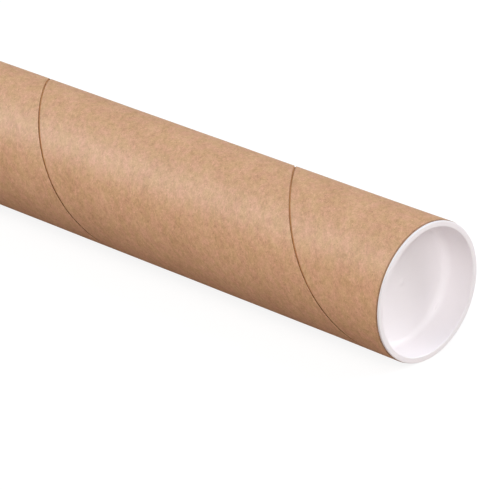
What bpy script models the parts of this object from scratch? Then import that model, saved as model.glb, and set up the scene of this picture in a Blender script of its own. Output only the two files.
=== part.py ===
"""Mailing tube for rolled drawings: a spiral-wound kraft paper tube with a push-in plug cap in each end.

The tube lies along X on the ground, and the origin is on the ground under its middle. The front cap is at
+X. Three paper plies are wound one on another as right-handed helical strips, each with an open butt seam,
and are cut square at both ends. Metres, +Z up.
"""

import math

import bpy

INCH = 0.0254

# Tube: each size here can be changed by itself.
TUBE_LENGTH = 24 * INCH
BORE_DIAMETER = 3 * INCH
PLY_THICKNESS = 0.00056  # of each of the three papers
GLUE_FILM = 0.00005  # between one ply and the next
PLY_WIDTH = 0.1535  # of the paper strip, square to its own edges
SEAM_GAP = 0.0010  # between one turn of a strip and the next, square to the seam
SEAM_FROM_FRONT = 0.0975  # along the top of the tube, from the front end back to the outer seam
REST_FLAT_WIDTH = 0.009  # the strip of the outer ply that lies flat on the ground, so that the tube stays put

# Plug cap
FLANGE_THICKNESS = 0.0013
FLANGE_INSET = 0.0003  # the flange's rim stands this far inside the tube's outside
FLANGE_ROUND = 0.0004
SEAT_GAP = 0.0003  # between the flange and the cut end of the tube
PLUG_DEPTH = 0.75 * INCH  # from the flange's seat to the plug's inner end
SKIRT_WALL = 0.0014
SKIRT_CLEARANCE = 0.00045  # between the bore and the skirt, at the flange
DRAFT = math.radians(1.2)
FLOOR_THICKNESS = 0.0014
MOUTH_ROUND = 0.0006  # where the flange's face turns into the recess
CORNER_ROUND = 0.0045  # where the recess's wall turns into its floor
LEAD_IN_ROUND = 0.0016  # on the plug's inner end
BEAD_COUNT = 3
BEAD_WIDTH = 0.0014
BEAD_CLEARANCE = 0.0001  # between the bore and the crest of each gripping bead
GATE_RADIUS = 0.0019  # the moulding gate's mark in the middle of the recess's floor
GATE_HEIGHT = 0.0003

SEGMENTS = 60  # facets round every turned piece, in line with each other so that close fits stay clear
ARC_STEPS = 3  # on a rounded edge
BEAD_STEPS = 2  # on each flank of a bead
MERGE = 0.00001
COLLECTION = "drawing_tube"

facet = 2 * math.pi / SEGMENTS
bore_radius = BORE_DIAMETER / 2
inner_ply_radius = bore_radius + PLY_THICKNESS
middle_ply_radius = inner_ply_radius + GLUE_FILM + PLY_THICKNESS
outer_radius = middle_ply_radius + GLUE_FILM + PLY_THICKNESS
axis_height = math.sqrt(outer_radius**2 - (REST_FLAT_WIDTH / 2) ** 2)

# The outer ply's width and girth set the winding angle, and all plies are wound at one pitch.
winding_angle = math.asin((PLY_WIDTH + SEAM_GAP) / (2 * math.pi * outer_radius))
pitch = (PLY_WIDTH + SEAM_GAP) / math.cos(winding_angle)
strip_length = PLY_WIDTH / math.cos(winding_angle)  # along the tube's axis


def clear_scene():
    for obj in list(bpy.data.objects):
        bpy.data.objects.remove(obj, do_unlink=True)


def collection(name):
    made = bpy.data.collections.new(name)
    bpy.context.scene.collection.children.link(made)
    return made


def material(name, colour, roughness):
    made = bpy.data.materials.new(name)
    made.use_nodes = True
    shader = made.node_tree.nodes["Principled BSDF"]
    shader.inputs["Base Color"].default_value = (*colour, 1)
    shader.inputs["Roughness"].default_value = roughness
    shader.inputs["Metallic"].default_value = 0
    return made


def axis_empty(name, location, tilt, parts):
    """An empty on the tube's axis whose own Z runs along it. Tilt is the turn about Y that lays Z down."""
    empty = bpy.data.objects.new(name, None)
    empty.location = location
    empty.rotation_euler = (0, tilt, 0)
    parts.objects.link(empty)
    return empty


def outline(name, points, look):
    """A mesh of edges through (radius, z) points, for a Screw modifier to carry round Z."""
    mesh = bpy.data.meshes.new(name)
    vertices = [(radius, 0, z) for radius, z in points]
    mesh.from_pydata(vertices, [(i, i + 1) for i in range(len(points) - 1)], [])
    mesh.materials.append(look)
    return mesh


def turned(name, mesh, turns, lead, parent, parts):
    """The outline carried round the parent's Z, climbing by lead each turn. Facets face its X and Y."""
    obj = bpy.data.objects.new(name, mesh)
    obj.parent = parent
    obj.rotation_euler = (0, 0, facet / 2)
    parts.objects.link(obj)
    screw = obj.modifiers.new("screw", "SCREW")
    screw.axis = "Z"
    screw.angle = 2 * math.pi
    screw.screw_offset = lead
    screw.iterations = turns
    screw.steps = SEGMENTS
    screw.render_steps = SEGMENTS
    screw.use_merge_vertices = lead == 0
    screw.merge_threshold = MERGE
    screw.use_smooth_shade = True
    return obj


def cutting_block(cutters):
    """A block on the ground, as long as the cut tube. It squares the plies' ends and cuts the rest flat."""
    side = 3 * outer_radius
    bpy.ops.mesh.primitive_cube_add(size=1, location=(0, 0, side / 2))
    block = bpy.context.object
    block.name = "cut_to_length"
    block.scale = (TUBE_LENGTH, side, side)
    bpy.ops.object.transform_apply(location=False, rotation=False, scale=True)
    block.display_type = "WIRE"
    block.hide_render = True
    for owner in block.users_collection:
        owner.objects.unlink(block)
    cutters.objects.link(block)
    return block


def wound_ply(name, radius, seam_x, look, parent, parts, block):
    """One paper strip wound as a helix, radius on its outside. Its seam crosses the tube's top at seam_x."""
    climb_to_top = pitch * (math.pi - facet / 2) / (2 * math.pi)  # winding starts underneath
    start = seam_x + (pitch - strip_length) / 2 - climb_to_top
    start -= pitch * math.ceil((start + pitch + TUBE_LENGTH / 2) / pitch)  # a whole turn before the rear end
    turns = math.ceil((TUBE_LENGTH / 2 - start) / pitch)
    strip = outline(name, [(radius, start + strip_length), (radius, start)], look)
    ply = turned(name, strip, turns, pitch, parent, parts)
    paper = ply.modifiers.new("paper", "SOLIDIFY")
    paper.thickness = PLY_THICKNESS
    paper.offset = -1
    paper.use_even_offset = True
    paper.use_quality_normals = True
    trim = ply.modifiers.new("cut_to_length", "BOOLEAN")
    trim.operation = "INTERSECT"
    trim.solver = "EXACT"
    trim.object = block
    return ply


def arc(centre, radius, start, end):
    """Points from the start angle to the end angle, in degrees from the +radius direction towards +z."""
    points = []
    for step in range(ARC_STEPS + 1):
        angle = math.radians(start + (end - start) * step / ARC_STEPS)
        points.append((centre[0] + radius * math.cos(angle), centre[1] + radius * math.sin(angle)))
    return points


def bead(depth, skirt_radius):
    """A low round rib on the skirt, its middle at this depth. Its crest all but touches the bore."""
    crest = bore_radius - BEAD_CLEARANCE
    points = []
    for step in range(-BEAD_STEPS, BEAD_STEPS + 1):
        along = step / BEAD_STEPS
        here = depth + along * BEAD_WIDTH / 2
        foot = skirt_radius(here)
        points.append((foot + (crest - foot) * math.cos(along * math.pi / 2), -here))
    return points


def cap_profile():
    """Half the cap's outline, from the recess's middle over the flange to the underside. The seat is z = 0."""

    def skirt_radius(depth):
        return bore_radius - SKIRT_CLEARANCE - depth * math.tan(DRAFT)

    flange_radius = outer_radius - FLANGE_INSET
    floor_z = FLOOR_THICKNESS - PLUG_DEPTH
    mouth_radius = skirt_radius(0) - SKIRT_WALL
    corner_radius = skirt_radius(-floor_z) - SKIRT_WALL
    inner_end_radius = skirt_radius(PLUG_DEPTH)
    gate_z = floor_z + GATE_HEIGHT
    floor = [(0, gate_z), (GATE_RADIUS - GATE_HEIGHT, gate_z), (GATE_RADIUS, floor_z)]
    corner = arc((corner_radius - CORNER_ROUND, floor_z + CORNER_ROUND), CORNER_ROUND, -90, 0)
    mouth = arc((mouth_radius + MOUTH_ROUND, FLANGE_THICKNESS - MOUTH_ROUND), MOUTH_ROUND, 180, 90)
    rim = arc((flange_radius - FLANGE_ROUND, FLANGE_THICKNESS - FLANGE_ROUND), FLANGE_ROUND, 90, 0)
    seat = [(flange_radius, 0), (skirt_radius(0), 0)]
    room = PLUG_DEPTH - LEAD_IN_ROUND
    beads = [bead(room * (i + 1) / (BEAD_COUNT + 1), skirt_radius) for i in range(BEAD_COUNT)]
    lead_in = arc((inner_end_radius - LEAD_IN_ROUND, LEAD_IN_ROUND - PLUG_DEPTH), LEAD_IN_ROUND, 0, -90)
    underside = [(0, -PLUG_DEPTH)]
    return floor + corner + mouth + rim + seat + sum(beads, []) + lead_in + underside


def build():
    clear_scene()
    parts = collection(COLLECTION)
    cutters = collection("cutters")
    kraft = material("kraft_liner", (0.60, 0.37, 0.21), 0.75)
    board = material("grey_brown_board", (0.38, 0.26, 0.17), 0.9)
    lining = material("kraft_lining", (0.52, 0.34, 0.20), 0.85)
    plastic = material("white_polyethylene", (0.86, 0.85, 0.86), 0.35)

    tube_axis = axis_empty("tube_axis", (0, 0, axis_height), math.pi / 2, parts)
    seat_x = TUBE_LENGTH / 2 + SEAT_GAP
    front_axis = axis_empty("front_cap_axis", (seat_x, 0, axis_height), math.pi / 2, parts)
    rear_axis = axis_empty("rear_cap_axis", (-seat_x, 0, axis_height), -math.pi / 2, parts)

    block = cutting_block(cutters)
    outer_seam = TUBE_LENGTH / 2 - SEAM_FROM_FRONT
    stagger = pitch / 3  # each ply covers the seams of the next
    wound_ply("inner_ply", inner_ply_radius, outer_seam - 2 * stagger, lining, tube_axis, parts, block)
    wound_ply("middle_ply", middle_ply_radius, outer_seam - stagger, board, tube_axis, parts, block)
    wound_ply("outer_ply", outer_radius, outer_seam, kraft, tube_axis, parts, block)

    plug = outline("plug_cap", cap_profile(), plastic)
    turned("front_end_cap", plug, 1, 0, front_axis, parts)
    turned("rear_end_cap", plug, 1, 0, rear_axis, parts)


build()
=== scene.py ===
import math

import bpy
import numpy as np
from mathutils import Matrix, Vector


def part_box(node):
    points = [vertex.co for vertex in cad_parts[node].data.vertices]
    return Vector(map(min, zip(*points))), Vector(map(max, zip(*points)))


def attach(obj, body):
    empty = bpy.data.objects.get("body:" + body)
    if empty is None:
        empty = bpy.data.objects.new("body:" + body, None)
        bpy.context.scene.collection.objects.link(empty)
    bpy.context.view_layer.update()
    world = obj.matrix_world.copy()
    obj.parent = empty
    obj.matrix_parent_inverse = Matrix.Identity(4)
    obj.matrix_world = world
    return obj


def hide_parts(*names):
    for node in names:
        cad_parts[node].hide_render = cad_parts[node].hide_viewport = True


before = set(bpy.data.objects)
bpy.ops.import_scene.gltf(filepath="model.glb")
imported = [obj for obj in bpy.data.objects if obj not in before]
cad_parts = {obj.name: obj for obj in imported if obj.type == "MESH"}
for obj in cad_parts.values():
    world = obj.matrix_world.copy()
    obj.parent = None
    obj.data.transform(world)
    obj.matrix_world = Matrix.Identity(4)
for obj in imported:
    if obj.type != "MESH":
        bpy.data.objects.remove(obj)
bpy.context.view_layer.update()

# The tube lies along X. Its radius and axis come from the frame, and every piece is placed by them.
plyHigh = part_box("outer_ply")[1]
halfLength = plyHigh.x
tubeRadius = plyHigh.y
axisHeight = plyHigh.z - tubeRadius
print("frame loaded, tube radius", round(tubeRadius * 1000, 2), "mm")


def makePiece(name, points, faces, materials, slots, attributes):
    # Points and faces go straight into a mesh. An attribute is one vector for each point.
    mesh = bpy.data.meshes.new(name)
    mesh.from_pydata(points, [], faces)
    mesh.polygons.foreach_set("use_smooth", np.ones(len(faces), dtype=bool))
    for material in materials:
        mesh.materials.append(material)
    mesh.polygons.foreach_set("material_index", slots)
    for key, values in attributes.items():
        layer = mesh.attributes.new(key, "FLOAT_VECTOR", "POINT")
        layer.data.foreach_set("vector", values.astype(np.float32).ravel())
    mesh.update()
    piece = bpy.data.objects.new(name, mesh)
    bpy.context.scene.collection.objects.link(piece)
    return piece


def gridFaces(numbers):
    # Quads between the neighbouring rows and columns of a grid of point numbers.
    corners = [numbers[:-1, :-1], numbers[1:, :-1], numbers[1:, 1:], numbers[:-1, 1:]]
    return np.stack(corners, axis=-1).reshape(-1, 4)


def crowdedShares(count, power):
    # Shares from 0 to 1 that crowd towards both ends: the gap left to the nearer end, raised to a power.
    s = np.linspace(-1, 1, count)
    return 0.5 + 0.5 * np.sign(s) * (1 - (1 - np.abs(s)) ** power)


def addNode(tree, kind, inputs=None, **settings):
    # A node with its settings, and with each input set to a value or joined to another node's output.
    node = tree.nodes.new(kind)
    for key, value in settings.items():
        setattr(node, key, value)
    for key, value in (inputs or {}).items():
        if isinstance(value, bpy.types.NodeSocket):
            tree.links.new(value, node.inputs[key])
        else:
            node.inputs[key].default_value = value
    return node


def mathNode(tree, operation, first, second=0.0, clamp=False):
    # One operation on values or sockets.
    node = addNode(tree, "ShaderNodeMath", {0: first, 1: second}, operation=operation, use_clamp=clamp)
    return node.outputs[0]


def weightedSum(tree, terms):
    # Each value times its weight, all added up.
    total = None
    for value, weight in terms:
        part = mathNode(tree, "MULTIPLY", value, weight)
        total = part if total is None else mathNode(tree, "ADD", total, part)
    return total


def ramp(tree, value, low, high, toLow=0.0, toHigh=1.0):
    # A smooth step from toLow to toHigh as the value goes from low to high.
    inputs = {"Value": value, "From Min": low, "From Max": high, "To Min": toLow, "To Max": toHigh}
    return addNode(tree, "ShaderNodeMapRange", inputs, interpolation_type="SMOOTHSTEP").outputs["Result"]


def mixColour(tree, share, first, second, blend="MIX"):
    # The first colour with this share of the second laid over it.
    node = addNode(tree, "ShaderNodeMix", data_type="RGBA", blend_type=blend)
    for socket, value in ((0, share), (6, first), (7, second)):
        if isinstance(value, bpy.types.NodeSocket):
            tree.links.new(value, node.inputs[socket])
        else:
            node.inputs[socket].default_value = value
    return node.outputs[2]


def newGroup(name, inputs, outputs):
    # A shader node group. Inputs and outputs are name to (socket type, default).
    group = bpy.data.node_groups.new(name, "ShaderNodeTree")
    for key, (kind, default) in inputs.items():
        socket = group.interface.new_socket(key, in_out="INPUT", socket_type=kind)
        if default is not None:
            socket.default_value = default
    for key, kind in outputs.items():
        group.interface.new_socket(key, in_out="OUTPUT", socket_type=kind)
    return group, group.nodes.new("NodeGroupInput").outputs, group.nodes.new("NodeGroupOutput").inputs


def stretchedNoise(tree, vector, turn, length, width, detail, seed):
    # Noise whose blots have this length along the sheet and this width across it, turned in its plane.
    place = {
        "Vector": vector,
        "Location": (seed, 0, seed),
        "Rotation": (0, 0, turn),
        "Scale": (length, width, length),
    }
    mapped = addNode(tree, "ShaderNodeMapping", place, vector_type="TEXTURE").outputs[0]
    pattern = {"Vector": mapped, "Scale": 1.0, "Detail": detail, "Roughness": 0.6}
    return addNode(tree, "ShaderNodeTexNoise", pattern).outputs["Fac"]


pulp = {
    # A noise is its turn in radians, the length and width of its blots, its detail and its seed.
    "clouds": (0, 0.030, 0.010, 3, 3.1),
    "mottle": (0, 0.0026, 0.0020, 2, 7.7),
    "grain": (0, 0.0010, 0.0008, 2, 1.9),
    "specks": (0.2, 0.0012, 0.0008, 1, 13.0),
    "flecks": (-0.3, 0.0015, 0.0009, 1, 17.0),
    "hue": (0.1, 0.0080, 0.0060, 1, 23.0),
    "shadeWeights": {"clouds": 0.75, "mottle": 1.6, "grain": 1.5},
    "strands": ((0.0, 2.0), (0.6, 5.0), (-0.5, 9.0)),  # turn and seed of each set of fibres
    "strandSize": (0.0042, 0.0005, 1),  # length, width and detail
    "strandHalf": 0.03,  # half a fibre's width, as a share of the noise's range
    "patchSize": (0.003, 0.0015, 0),  # fibres show in patches of this length, width and detail
    "patchSeed": 20,
    "patchEdges": (0.5, 0.6),
    "strandStrength": 0.4,
    "speckEdges": (0.68, 0.75),
    "fleckEdges": (0.68, 0.74),
    "spotStrength": 0.6,
    "hueEdges": (0.3, 0.7),
    "pinkTint": (1.022, 0.984, 1.05, 1),
    "yellowTint": (0.978, 1.016, 0.95, 1),
    "mottleHeight": 0.5,
    "grainHeight": 0.4,
    "strandHeight": 0.2,
}


def paperFibreGroup():
    # Kraft pulp seen close: soft clouds where the pulp lies thick, a mottle, a finer grain, crossing fibres
    # as thin lines at three angles to the sheet's length, pale flecks, dark bark specks and a slight drift
    # of hue between pink and yellow. Outputs a colour and a height.
    sockets = {
        "Vector": ("NodeSocketVector", None),
        "Base": ("NodeSocketColor", (0.5, 0.3, 0.18, 1)),
        "Pale": ("NodeSocketColor", (0.7, 0.5, 0.32, 1)),
        "Dark": ("NodeSocketColor", (0.25, 0.14, 0.07, 1)),
        "Mottle": ("NodeSocketFloat", 1.0),
        "Fibres": ("NodeSocketFloat", 1.0),
    }
    results = {"Color": "NodeSocketColor", "Height": "NodeSocketFloat"}
    group, given, result = newGroup("paperFibre", sockets, results)
    vector = given["Vector"]
    noises = {key: stretchedNoise(group, vector, *pulp[key]) for key in pulp["shadeWeights"]}

    # Shade is below 0 where dark and above 0 where pale: the noises about their middle, added by weight.
    centred = {key: mathNode(group, "SUBTRACT", noise, 0.5) for key, noise in noises.items()}
    shade = weightedSum(group, [(centred[key], weight) for key, weight in pulp["shadeWeights"].items()])
    shade = mathNode(group, "MULTIPLY", shade, given["Mottle"])
    paler = mathNode(group, "MAXIMUM", shade, 0.0, clamp=True)
    darker = mathNode(group, "MAXIMUM", mathNode(group, "MULTIPLY", shade, -1.0), 0.0, clamp=True)
    colour = mixColour(group, paler, given["Base"], given["Pale"])
    colour = mixColour(group, darker, colour, given["Dark"])

    # A fibre is the thin band where a long noise crosses its middle value.
    lines = None
    for turn, seed in pulp["strands"]:
        strand = stretchedNoise(group, vector, turn, *pulp["strandSize"], seed)
        offMiddle = mathNode(group, "ABSOLUTE", mathNode(group, "SUBTRACT", strand, 0.5))
        band = ramp(group, offMiddle, 0.0, pulp["strandHalf"], 1, 0)
        patch = stretchedNoise(group, vector, turn, *pulp["patchSize"], seed + pulp["patchSeed"])
        line = mathNode(group, "MULTIPLY", band, ramp(group, patch, *pulp["patchEdges"]))
        lines = line if lines is None else mathNode(group, "MAXIMUM", lines, line)
    fibreShare = mathNode(group, "MULTIPLY", lines, pulp["strandStrength"])
    fibreShare = mathNode(group, "MULTIPLY", fibreShare, given["Fibres"])
    colour = mixColour(group, fibreShare, colour, given["Pale"])

    for spots, edges, paint in (("specks", "speckEdges", "Dark"), ("flecks", "fleckEdges", "Pale")):
        noise = stretchedNoise(group, vector, *pulp[spots])
        share = ramp(group, noise, *pulp[edges], 0.0, pulp["spotStrength"])
        colour = mixColour(group, share, colour, given[paint])
    hue = ramp(group, stretchedNoise(group, vector, *pulp["hue"]), *pulp["hueEdges"])
    tint = mixColour(group, hue, pulp["pinkTint"], pulp["yellowTint"])
    group.links.new(mixColour(group, 1.0, colour, tint, "MULTIPLY"), result["Color"])
    heights = [
        (noises["mottle"], pulp["mottleHeight"]),
        (noises["grain"], pulp["grainHeight"]),
        (lines, pulp["strandHeight"]),
    ]
    group.links.new(weightedSum(group, heights), result["Height"])
    return group


def edgeSoilAndShadeGroup():
    # Darkening along a paper's edges: partly dirt on the edges, partly painted shadow of the seam's groove
    # and of the gap where the tube's end meets the plug. Gaps is the distance to the nearest seam and to the
    # tube's cut end. The share of darkening falls smoothly from its full value at the edge to nothing at its
    # reach, and the larger share wins.
    sockets = {
        "Color": ("NodeSocketColor", (0.5, 0.3, 0.18, 1)),
        "Soil": ("NodeSocketColor", (0.13, 0.055, 0.022, 1)),
        "Gaps": ("NodeSocketVector", None),
        "Seam Reach": ("NodeSocketFloat", 0.0004),
        "Seam Soil And Shade": ("NodeSocketFloat", 0.1),
        "End Reach": ("NodeSocketFloat", 0.0009),
        "End Soil And Shade": ("NodeSocketFloat", 0.5),
    }
    group, given, result = newGroup("edgeSoilAndShade", sockets, {"Color": "NodeSocketColor"})
    gaps = addNode(group, "ShaderNodeSeparateXYZ", {0: given["Gaps"]}).outputs
    # Darker towards each seam and cut end: dirt together with painted shadow of the seam's groove and the
    # plug's gap.
    seam = ramp(group, gaps[0], 0.0, given["Seam Reach"], given["Seam Soil And Shade"], 0.0)
    end = ramp(group, gaps[1], 0.0, given["End Reach"], given["End Soil And Shade"], 0.0)
    share = mathNode(group, "MAXIMUM", seam, end)
    group.links.new(mixColour(group, share, given["Color"], given["Soil"]), result["Color"])
    return group


paperFibre = paperFibreGroup()
edgeSoilAndShade = edgeSoilAndShadeGroup()


def newMaterial(name, roughness, specular):
    # A material with a Principled shader that has these even values.
    material = bpy.data.materials.new(name)
    material.use_nodes = True
    shader = material.node_tree.nodes["Principled BSDF"]
    shader.inputs["Roughness"].default_value = roughness
    shader.inputs["Specular IOR Level"].default_value = specular
    return material, material.node_tree, shader


def addBump(tree, shader, look, height):
    # The height as a bump of the look's strength and depth.
    inputs = {"Strength": look["bump"], "Distance": look["bumpDepth"], "Height": height}
    bump = addNode(tree, "ShaderNodeBump", inputs)
    tree.links.new(bump.outputs[0], shader.inputs["Normal"])


def paperMaterial(name, look):
    # A paper from the fibre group, darkened along its edges by dirt and painted shadow. Its patterns follow
    # the sheet as it is wound.
    material, tree, shader = newMaterial(name, look["roughness"], look["specular"])
    fibreInputs = {
        "Vector": addNode(tree, "ShaderNodeAttribute", attribute_name="sheet").outputs["Vector"],
        "Base": (*look["base"], 1),
        "Pale": (*look["pale"], 1),
        "Dark": (*look["dark"], 1),
        "Mottle": look["mottle"],
        "Fibres": look["fibres"],
    }
    fibre = addNode(tree, "ShaderNodeGroup", fibreInputs, node_tree=paperFibre)
    soilInputs = {
        "Color": fibre.outputs["Color"],
        "Soil": (*look["soilAndShade"], 1),
        "Gaps": addNode(tree, "ShaderNodeAttribute", attribute_name="gaps").outputs["Vector"],
        "Seam Reach": look["seamReach"],
        "Seam Soil And Shade": look["seamSoil"],
        "End Reach": look["endReach"],
        "End Soil And Shade": look["endSoil"],
    }
    soilAndShade = addNode(tree, "ShaderNodeGroup", soilInputs, node_tree=edgeSoilAndShade)
    tree.links.new(soilAndShade.outputs["Color"], shader.inputs["Base Color"])
    addBump(tree, shader, look, fibre.outputs["Height"])
    return material


kraft = {
    "base": (0.653, 0.363, 0.197),
    "pale": (0.915, 0.565, 0.35),
    "dark": (0.365, 0.165, 0.065),
    "mottle": 0.85,
    "fibres": 0.65,
    "roughness": 0.5,
    "specular": 0.6,
    "bump": 0.3,
    "bumpDepth": 0.0001,
    "soilAndShade": (0.13, 0.055, 0.022),  # the colour of dirt and painted shadow along the edges
    "seamSoil": 0.1,  # how much of it lies along a seam, and how far it reaches
    "seamReach": 0.0004,
    "endSoil": 0.5,  # the same for the tube's cut ends
    "endReach": 0.0009,
}
board = dict(kraft, base=(0.68, 0.315, 0.13), pale=(0.8, 0.44, 0.22), dark=(0.4, 0.17, 0.07))
board.update(roughness=0.85, specular=0.2, seamSoil=0.0, endSoil=0.0)
lining = dict(kraft, base=(0.50, 0.29, 0.17), roughness=0.78, specular=0.3, endSoil=0.2)
cutPaper = dict(kraft, base=(0.34, 0.19, 0.105), pale=(0.5, 0.31, 0.18), dark=(0.14, 0.075, 0.04))
cutPaper.update(mottle=1.3, fibres=1.0, roughness=0.95, specular=0.1, seamSoil=0.0, endSoil=0.0, bump=0.8)
# The slit edges' near-black colour is painted shade: the seam's narrow groove is drawn dark.
slitPaperShade = dict(cutPaper, base=(0.12, 0.046, 0.016), pale=(0.2, 0.08, 0.03), dark=(0.06, 0.022, 0.01))

kraftFace = paperMaterial("kraft outer face", kraft)
boardFace = paperMaterial("core board", board)
liningFace = paperMaterial("bore lining", lining)
cutEdge = paperMaterial("cut paper edge", cutPaper)
slitEdgeShade = paperMaterial("slit paper edge, painted shade", slitPaperShade)
print("paper materials made")


winding = {
    "pitch": 0.19624,  # along the tube in one turn
    "seamAlong": 0.00127,  # the open seam's width, along the tube
    "seamFromFront": 0.0975,  # from the front end back to the outer seam, along the top
    "paper": 0.00056,  # thickness
    "rowsPerTurn": 180,
    "columns": 57,
    "crowding": 3.2,
    "stagger": 1 / 3,  # from one ply's seam to the next one's, as a share of the pitch
    "edgeRound": 0.00014,  # how far the outer face falls away at an edge
    "edgeReach": 0.00035,
    "innerRound": 0.5,  # the inner face's rounding, as a share of that
    "tipWidth": 0.0012,  # where a strip runs out at the tube's end
    "groove": 0.00004,  # the seams of the ply beneath show as faint grooves this deep
    "grooveWidth": 0.0016,
    "wave": 0.00003,  # the face's slight unevenness, from two sines
    "waveAlong": (83, 31),  # what each sine turns for a metre of x
    "waveRound": (2, 3),  # and for a radian of t
    "flare": 0.0002,  # the plugs press the mouths out by this much
    "flareReach": 0.03,
    "sharpAngle": 50,
}


def woundPly(name, node, level, face, isSeen):
    # A paper strip wound as a helix. By winding angle t from the top towards -Y, in rows, its lower edge
    # lies at x = seam + pitch t / whole turn and its upper edge one strip higher, both cut off at the
    # tube's ends. Columns share out the width between them. A point is (x, -r sin t, axis height + r cos t)
    # and r is the ply's radius, less a rounding near the edges and less the mouths' flare away from the
    # ends. The ply that is seen also has faint grooves over the seams beneath and slight waves. Level
    # counts the plies inwards.
    w = winding
    pitch = w["pitch"]
    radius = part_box(node)[1].y
    turn = 2 * math.pi
    lowAtTop = halfLength - w["seamFromFront"] - level * w["stagger"] * pitch + w["seamAlong"] / 2
    stripAlong = pitch - w["seamAlong"]
    firstRow = (-halfLength + w["tipWidth"] - lowAtTop - stripAlong) / pitch * turn
    lastRow = (halfLength - w["tipWidth"] - lowAtTop) / pitch * turn
    rows = np.linspace(firstRow, lastRow, round((lastRow - firstRow) / turn * w["rowsPerTurn"]))
    low = lowAtTop + pitch * rows / turn
    start = np.maximum(low, -halfLength)
    end = np.minimum(low + stripAlong, halfLength)
    x = start[:, None] + (end - start)[:, None] * crowdedShares(w["columns"], w["crowding"])
    t = np.broadcast_to(rows[:, None], x.shape)
    fromLow = x - low[:, None]
    seamGap = np.minimum(fromLow, low[:, None] + stripAlong - x)
    endGap = halfLength - np.abs(x)

    # The rounding is a quarter ellipse. The face falls by edgeRound over the last edgeReach.
    near = np.clip(1 - np.minimum(seamGap, endGap) / w["edgeReach"], 0, 1)
    fall = w["edgeRound"] * (1 - np.sqrt(1 - near**2))
    # The groove is a bell curve of the distance to the nearest seam beneath. The wave is a product of sines.
    beneath = (fromLow + pitch * w["stagger"]) % pitch
    beneath = np.minimum(beneath, pitch - beneath)
    groove = isSeen * w["groove"] * np.exp(-((beneath / w["grooveWidth"]) ** 2))
    swing = np.sin(w["waveAlong"][0] * x + w["waveRound"][0] * t)
    swing = swing * np.cos(w["waveRound"][1] * t - w["waveAlong"][1] * x)
    wave = isSeen * w["wave"] * (1 + swing)
    slack = w["flare"] * (1 - np.exp(-((endGap / w["flareReach"]) ** 2)))
    outerR = radius - slack - fall - groove - wave
    innerR = radius - slack - w["paper"] + w["innerRound"] * fall

    # The sheet's own place: along the strip, across it and into it.
    slope = math.atan2(pitch, turn * radius)
    alongSheet = radius * t * math.cos(slope) + x * math.sin(slope)
    acrossSheet = fromLow * math.cos(slope)
    points = []
    sheet = []
    for r in (outerR, innerR):
        z = np.maximum(axisHeight + r * np.cos(t), 0)  # the part lying on the ground is flat
        points.append(np.stack([x, -r * np.sin(t), z], axis=-1).reshape(-1, 3))
        sheet.append(np.stack([alongSheet, acrossSheet, radius - r], axis=-1).reshape(-1, 3))

    outer = np.arange(x.size).reshape(x.shape)
    inner = outer + x.size
    sheetFaces = [gridFaces(outer), gridFaces(inner)[:, ::-1]]
    walls = [
        gridFaces(np.stack([inner[:, 0], outer[:, 0]], axis=1)),
        gridFaces(np.stack([outer[:, -1], inner[:, -1]], axis=1)),
        gridFaces(np.stack([inner[0], outer[0]], axis=0)),
        gridFaces(np.stack([outer[-1], inner[-1]], axis=0)),
    ]
    faces = np.concatenate(sheetFaces + walls)

    # The two long walls are slit edges along the seam and cut ends where the tube was cut off. Slit edges
    # and strip tips get the near-black slit paper, which is painted shade of the seam's groove.
    cutSlot, slitShadeSlot = 1, 2
    lowWall = np.where(low[1:] < -halfLength, cutSlot, slitShadeSlot)
    highWall = np.where(low[:-1] + stripAlong > halfLength, cutSlot, slitShadeSlot)
    sheetSlots = np.zeros(sum(len(quads) for quads in sheetFaces))
    tipSlots = np.full(sum(len(quads) for quads in walls[2:]), slitShadeSlot)
    slots = np.concatenate([sheetSlots, lowWall, highWall, tipSlots]).astype(np.int32)
    gaps = np.stack([seamGap, endGap, 0 * endGap], axis=-1).reshape(-1, 3)
    attributes = {"sheet": np.concatenate(sheet), "gaps": np.tile(gaps, (2, 1))}
    piece = makePiece(name, np.concatenate(points), faces, [face, cutEdge, slitEdgeShade], slots, attributes)
    piece.data.set_sharp_from_angle(angle=math.radians(w["sharpAngle"]))
    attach(piece, "tube")
    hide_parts(node)
    print("wound", name, "with", len(rows), "rows")
    return piece


outerWrap = woundPly("outerWrap", "outer_ply", 0, kraftFace, True)
coreWrap = woundPly("coreWrap", "middle_ply", 1, boardFace, False)
boreWrap = woundPly("boreWrap", "inner_ply", 2, liningFace, False)


plastic = {
    "base": (0.915, 0.878, 0.893),
    "cloud": (0.90, 0.865, 0.882),
    "cloudScale": 90.0,
    "cloudEdges": (0.1, 0.9),
    "roughness": 0.42,
    "roughnessSwing": 0.05,
    "specular": 0.4,
    "grainScale": 160.0,
    "noiseDetail": 2.0,
    "bump": 0.1,
    "bumpDepth": 0.0001,
}


def plasticMaterial():
    # Natural white polyethylene: slightly cloudy in colour and gloss, satin, with a fine moulded grain.
    material, tree, shader = newMaterial("white polyethylene", plastic["roughness"], plastic["specular"])
    place = addNode(tree, "ShaderNodeTexCoord").outputs["Object"]
    cloudInputs = {"Vector": place, "Scale": plastic["cloudScale"], "Detail": plastic["noiseDetail"]}
    clouds = addNode(tree, "ShaderNodeTexNoise", cloudInputs).outputs["Fac"]
    grainInputs = {"Vector": place, "Scale": plastic["grainScale"], "Detail": plastic["noiseDetail"]}
    grain = addNode(tree, "ShaderNodeTexNoise", grainInputs).outputs["Fac"]
    colour = mixColour(tree, clouds, (*plastic["base"], 1), (*plastic["cloud"], 1))
    tree.links.new(colour, shader.inputs["Base Color"])
    middle, swing = plastic["roughness"], plastic["roughnessSwing"]
    rough = ramp(tree, clouds, *plastic["cloudEdges"], middle - swing, middle + swing)
    tree.links.new(rough, shader.inputs["Roughness"])
    addBump(tree, shader, plastic, grain)
    return material


polyethylene = plasticMaterial()


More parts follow.
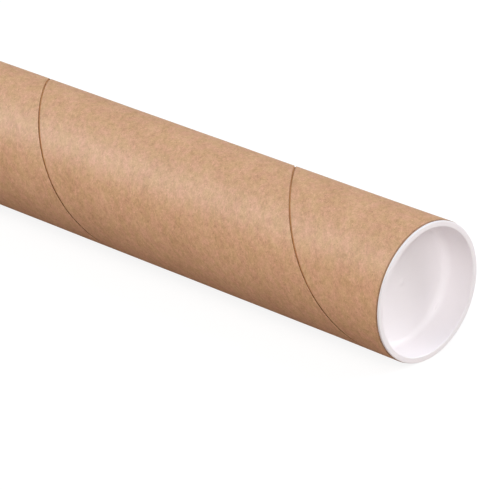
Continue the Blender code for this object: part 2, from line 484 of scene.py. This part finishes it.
plug = {
    "flangeThickness": 0.0013,
    "rimRound": 0.00045,
    "seatRound": 0.00025,  # where the flange's rim turns under
    "seatCorner": (0.00008, 0.00004),  # a point on that round, inwards and up from its corner
    "seatMargin": 0.0003,  # the seat ends this far outside the skirt
    "skirtWall": 0.0014,
    "skirtClearance": 0.00045,
    "skirtStart": 0.0002,  # under the seat
    "floorThickness": 0.0014,
    "draft": math.radians(1.2),
    "mouthRound": 0.0006,
    "cornerRound": 0.0045,
    "leadInRound": 0.0016,
    "beads": 3,
    "beadWidth": 0.0014,
    "beadClearance": 0.00012,
    # The moulding gate's mark in the middle of the floor is two steps, one on the other.
    "gateRadius": 0.0019,
    "gateHeight": 0.0003,
    "gateEdge": 0.00012,
    "nubRadius": 0.0006,
    "nubHeight": 0.0002,
    "nubEdge": 0.00006,
    "nibAngle": math.radians(230.3),  # a small nib low on the recess's wall
    "nibSpan": 0.062,  # half its length, as an angle
    "nibRise": 0.002,  # its height over the floor
    "nibWidth": 0.0003,
    "nibHeight": 0.0005,
    "floorSag": 0.00025,
    "undersideSag": 0.9,  # the underside's, as a share of the floor's
    "undersideReach": 0.85,  # the share of the radius that sags
    "warp": 0.00012,
    "warpLobes": 3,
    "floorBand": 0.0004,  # what lies within this height of the floor belongs to it
    "spokes": 240,
    "sharpAngle": 60,
    # How many points each stretch of the outline has.
    "floorSteps": 60,
    "cornerSteps": 36,
    "wallSteps": 28,
    "mouthSteps": 9,
    "faceSteps": 7,
    "rimSteps": 8,
    "skirtSteps": 130,
    "leadInSteps": 9,
    "undersideSteps": 30,
}


def arcPoints(centre, radius, start, end, count):
    # Points on an arc about the centre, from the start angle to the end angle in degrees.
    angle = np.radians(np.linspace(start, end, count))
    return np.stack([centre[0] + radius * np.cos(angle), centre[1] + radius * np.sin(angle)], axis=-1)


def levelLine(start, end, height, steps):
    # Points at one height, evenly from the start radius to the end radius.
    radii = np.linspace(start, end, steps)
    return np.stack([radii, np.full_like(radii, height)], axis=-1)


def plugProfile(node):
    # Half the cap's outline as (radius, height) from the recess's middle, over the flange and down the
    # beaded skirt to the middle of the underside. Height 0 is the flange's seat. A bead is half a cosine
    # wave, from the skirt out to its crest. Also the floor's height and the recess's count of points.
    p = plug
    low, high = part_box(node)
    rim = high.y
    face = p["flangeThickness"]
    depth = (high.x - low.x) - face
    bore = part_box("inner_ply")[1].y - winding["paper"]
    skirtTop = bore - p["skirtClearance"]
    lean = math.tan(p["draft"])
    floor = p["floorThickness"] - depth
    corner = skirtTop + floor * lean - p["skirtWall"]
    mouth = skirtTop - p["skirtWall"]
    tip = skirtTop - depth * lean
    cornerR, mouthR, rimR, leadR = p["cornerRound"], p["mouthRound"], p["rimRound"], p["leadInRound"]

    skirt = np.linspace(p["skirtStart"], depth - leadR, p["skirtSteps"])
    plain = skirtTop - skirt * lean
    crest = bore - p["beadClearance"]
    swell = np.zeros_like(skirt)
    for i in range(p["beads"]):
        middle = (depth - leadR) * (i + 1) / (p["beads"] + 1)
        swell = np.maximum(swell, np.cos(np.clip((skirt - middle) / p["beadWidth"], -0.5, 0.5) * math.pi))
    rise = np.linspace(0, 1, p["wallSteps"])[1:-1] ** 2  # closer together near the floor
    wallFoot = floor + cornerR
    wall = [corner + (mouth - corner) * rise, wallFoot + (face - mouthR - wallFoot) * rise]
    seatIn, seatUp = p["seatCorner"]
    seat = [
        [rim, p["seatRound"]],
        [rim - seatIn, seatUp],
        [rim - p["seatRound"], 0.0],
        [skirtTop + p["seatMargin"], 0.0],
    ]
    parts = [
        levelLine(0, corner - cornerR, floor, p["floorSteps"])[:-1],
        arcPoints((corner - cornerR, wallFoot), cornerR, -90, 0, p["cornerSteps"]),
        np.stack(wall, axis=-1),
        arcPoints((mouth + mouthR, face - mouthR), mouthR, 180, 90, p["mouthSteps"]),
        levelLine(mouth + mouthR, rim - rimR, face, p["faceSteps"])[1:-1],
        arcPoints((rim - rimR, face - rimR), rimR, 90, 0, p["rimSteps"]),
        np.array(seat),
        np.stack([plain + (crest - plain) * swell, -skirt], axis=-1),
        arcPoints((tip - leadR, leadR - depth), leadR, 0, -90, p["leadInSteps"])[1:],
        levelLine(tip - leadR, 0, -depth, p["undersideSteps"])[1:],
    ]
    return np.concatenate(parts), floor, sum(len(part) for part in parts[:3])


def sagged(r, h, a, rim, floor):
    # The height h at radius r and angle a. The recess's floor sags towards its middle as 1 - share squared,
    # is warped in lobes round it and bears the gate's mark. The underside sags with the floor.
    p = plug
    share = r / rim
    sag = -p["floorSag"] * (1 - share**2)
    sag = sag + p["warp"] * share**2 * (1 - share) * 4 * np.cos(p["warpLobes"] * a)
    gate = p["gateHeight"] / (1 + np.exp((r - p["gateRadius"]) / p["gateEdge"]))
    nub = p["nubHeight"] / (1 + np.exp((r - p["nubRadius"]) / p["nubEdge"]))
    onFloor = (h < floor + p["floorBand"]) & (h > floor - p["floorBand"])
    under = (h < floor - p["floorBand"]) & (share < p["undersideReach"])
    return h + np.where(onFloor, sag + gate + nub, 0) + np.where(under, sag * p["undersideSag"], 0)


def plugCap(name, node, body, side, clocking):
    # The outline carried round the tube's axis. A point at radius r, height h and angle a is
    # (side (seat + h), -side r sin a, axis height + r cos a). The nib is a swelling of the wall that fades
    # with the distance in height and in angle. Clocking turns the cap in its bore.
    p = plug
    profile, floor, insideCount = plugProfile(node)
    low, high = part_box(node)
    seat = (high.x if side > 0 else -low.x) - p["flangeThickness"]
    r, h = profile[1:-1, 0][:, None], profile[1:-1, 1][:, None]
    a = (np.arange(p["spokes"]) / p["spokes"] * 2 * math.pi)[None, :]
    turned = a + clocking
    rowHeights = sagged(r, h, turned, high.y, floor)
    isInside = np.arange(1, len(profile) - 1)[:, None] < insideCount
    fade = ((h - floor - p["nibRise"]) / p["nibWidth"]) ** 2 + ((a - p["nibAngle"]) / p["nibSpan"]) ** 4
    nibbed = r - isInside * p["nibHeight"] * np.exp(-fade)
    ring = np.stack([seat + rowHeights, -nibbed * np.sin(turned), nibbed * np.cos(turned)], axis=-1)
    poleHeights = sagged(profile[[0, -1], 0], profile[[0, -1], 1], clocking, high.y, floor)
    poles = np.stack([seat + poleHeights, np.zeros(2), np.zeros(2)], axis=-1)
    points = np.concatenate([ring.reshape(-1, 3), poles])
    points[:, 0] *= side
    points[:, 1] *= side
    points[:, 2] += axisHeight

    rows, spokes = rowHeights.shape
    numbers = np.arange(rows * spokes).reshape(rows, spokes)
    numbers = np.concatenate([numbers, numbers[:, :1]], axis=1)
    first = np.stack([numbers[0, :-1], numbers[0, 1:], np.full(spokes, rows * spokes)], axis=-1)
    last = np.stack([numbers[-1, 1:], numbers[-1, :-1], np.full(spokes, rows * spokes + 1)], axis=-1)
    faces = gridFaces(numbers).tolist() + first.tolist() + last.tolist()
    piece = makePiece(name, points, faces, [polyethylene], np.zeros(len(faces), dtype=np.int32), {})
    piece.data.set_sharp_from_angle(angle=math.radians(p["sharpAngle"]))
    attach(piece, body)
    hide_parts(node)
    print("turned", name, "with", len(faces), "faces")


plugCap("frontPlug", "front_end_cap", "front_cap", 1, 0.0)
plugCap("rearPlug", "rear_end_cap", "rear_cap", -1, 1.1)


studio = {
    "floorHalf": 5.0,
    "floorSteps": 9,
    "floorDrop": 0.0002,  # under height 0
    "floorColour": (0.49, 0.405, 0.36),  # as the tube sees it
    "floorShown": (0.17, 0.169, 0.168),  # as the camera sees it, over its own glow
    "floorCloud": 0.98,  # the darker blots, as a share of that
    "floorCloudScale": 3.0,
    "floorCloudDetail": 2.0,
    "floorGlow": 0.88,
    "world": (1.0, 0.99, 0.985),
    "worldStrength": 0.118,
    # Each light is aimed at the tube's axis near its front. Azimuth 0 is in front, at -Y, and grows towards
    # +X. The columns are azimuth, elevation, distance, width, height, power and colour.
    "lights": {
        "key": (-60, 30, 3.0, 1.5, 1.5, 45.0, (0.975, 1.0, 0.975)),
        "upperRight": (60, 30, 3.0, 1.5, 1.5, 40.0, (1.0, 1.0, 1.0)),
        "highRight": (60, 62, 3.0, 1.5, 2.4, 5.4, (1.0, 1.0, 1.0)),
        "farRight": (150, 30, 3.0, 1.5, 1.5, 52.0, (1.0, 1.0, 1.0)),
        "topBack": (180, 60, 3.0, 2.4, 1.5, 18.0, (0.25, 0.55, 1.0)),
        "farLeft": (-90, 30, 3.0, 1.5, 1.5, 11.0, (1.0, 1.0, 1.0)),
        "frontFill": (30, 30, 3.0, 1.5, 1.5, 4.0, (1.0, 1.0, 1.0)),
        "lowFill": (55, 4, 3.0, 1.5, 1.0, 5.0, (1.0, 1.0, 1.0)),
    },
    "aimX": 0.15,
}


def directionTo(azimuth, elevation):
    # The unit vector (sin a cos e, -cos a cos e, sin e).
    a, e = math.radians(azimuth), math.radians(elevation)
    return Vector((math.sin(a) * math.cos(e), -math.cos(a) * math.cos(e), math.sin(e)))


def cameraSwitch(tree, felt, seen, output):
    # The camera sees the second shader, and all other light meets the first.
    isCamera = addNode(tree, "ShaderNodeLightPath").outputs["Is Camera Ray"]
    shaders = {0: isCamera, 1: felt.outputs[0], 2: seen.outputs[0]}
    chosen = addNode(tree, "ShaderNodeMixShader", shaders)
    tree.links.new(chosen.outputs[0], tree.nodes[output].inputs["Surface"])


def makeFloor():
    # A flat grid just under height 0. The camera sees it pale, with a soft faint shadow.
    line = np.linspace(-studio["floorHalf"], studio["floorHalf"], studio["floorSteps"])
    x, y = np.meshgrid(line, line, indexing="ij")
    points = np.stack([x, y, np.full_like(x, -studio["floorDrop"])], axis=-1).reshape(-1, 3)
    material, tree, seen = newMaterial("pale floor", 1.0, 0.0)
    pattern = {"Scale": studio["floorCloudScale"], "Detail": studio["floorCloudDetail"]}
    noise = addNode(tree, "ShaderNodeTexNoise", pattern).outputs["Fac"]
    shown = np.array([*studio["floorShown"], 1])
    tree.links.new(mixColour(tree, noise, shown, studio["floorCloud"] * shown), seen.inputs["Base Color"])
    seen.inputs["Emission Color"].default_value = (1, 1, 1, 1)
    seen.inputs["Emission Strength"].default_value = studio["floorGlow"]
    felt = addNode(tree, "ShaderNodeBsdfDiffuse", {"Color": (*studio["floorColour"], 1)})
    cameraSwitch(tree, felt, seen, "Material Output")
    faces = gridFaces(np.arange(x.size).reshape(x.shape))
    floor = makePiece("floor", points, faces, [material], np.zeros(len(faces), dtype=np.int32), {})


def softbox(name, azimuth, elevation, distance, width, height, power, colour):
    # A rectangular light at this distance from its aim, turned to face it.
    light = bpy.data.lights.new(name, "AREA")
    light.shape = "RECTANGLE"
    light.size = width
    light.size_y = height
    light.energy = power
    light.color = colour
    away = directionTo(azimuth, elevation)
    obj = bpy.data.objects.new(name, light)
    obj.location = Vector((studio["aimX"], 0, axisHeight)) + away * distance
    obj.rotation_euler = (-away).to_track_quat("-Z", "Y").to_euler()
    obj.visible_camera = False
    bpy.context.scene.collection.objects.link(obj)


def makeWorld():
    # A weak even fill for the object. The camera sees white where the floor ends.
    world = bpy.data.worlds.new("studio")
    bpy.context.scene.world = world
    world.use_nodes = True
    tree = world.node_tree
    fill = tree.nodes["Background"]
    fill.inputs["Color"].default_value = (*studio["world"], 1)
    fill.inputs["Strength"].default_value = studio["worldStrength"]
    seen = addNode(tree, "ShaderNodeBackground", {"Color": (1, 1, 1, 1), "Strength": 1.0})
    cameraSwitch(tree, fill, seen, "World Output")


camera = {
    "azimuth": 43.813,
    "elevation": 23.285,
    "distance": 2.01563,
    "lens": 266.47,
    "sensor": 36,
    "clip": (0.05, 60),
    "aimFromFront": 0.13336,
    "aimAboveAxis": -0.01281,
}


def makeCamera():
    # It looks at a point under the tube's axis, from the given direction and distance.
    away = directionTo(camera["azimuth"], camera["elevation"])
    data = bpy.data.cameras.new("camera")
    data.lens = camera["lens"]
    data.sensor_width = camera["sensor"]
    data.clip_start, data.clip_end = camera["clip"]
    obj = bpy.data.objects.new("camera", data)
    aim = Vector((halfLength - camera["aimFromFront"], 0, axisHeight + camera["aimAboveAxis"]))
    obj.location = aim + away * camera["distance"]
    obj.rotation_euler = (-away).to_track_quat("-Z", "Y").to_euler()
    bpy.context.scene.collection.objects.link(obj)
    bpy.context.scene.camera = obj


makeFloor()
makeWorld()
for name, values in studio["lights"].items():
    softbox(name, *values)
makeCamera()
bpy.context.scene.view_settings.view_transform = "Standard"
print("studio set")
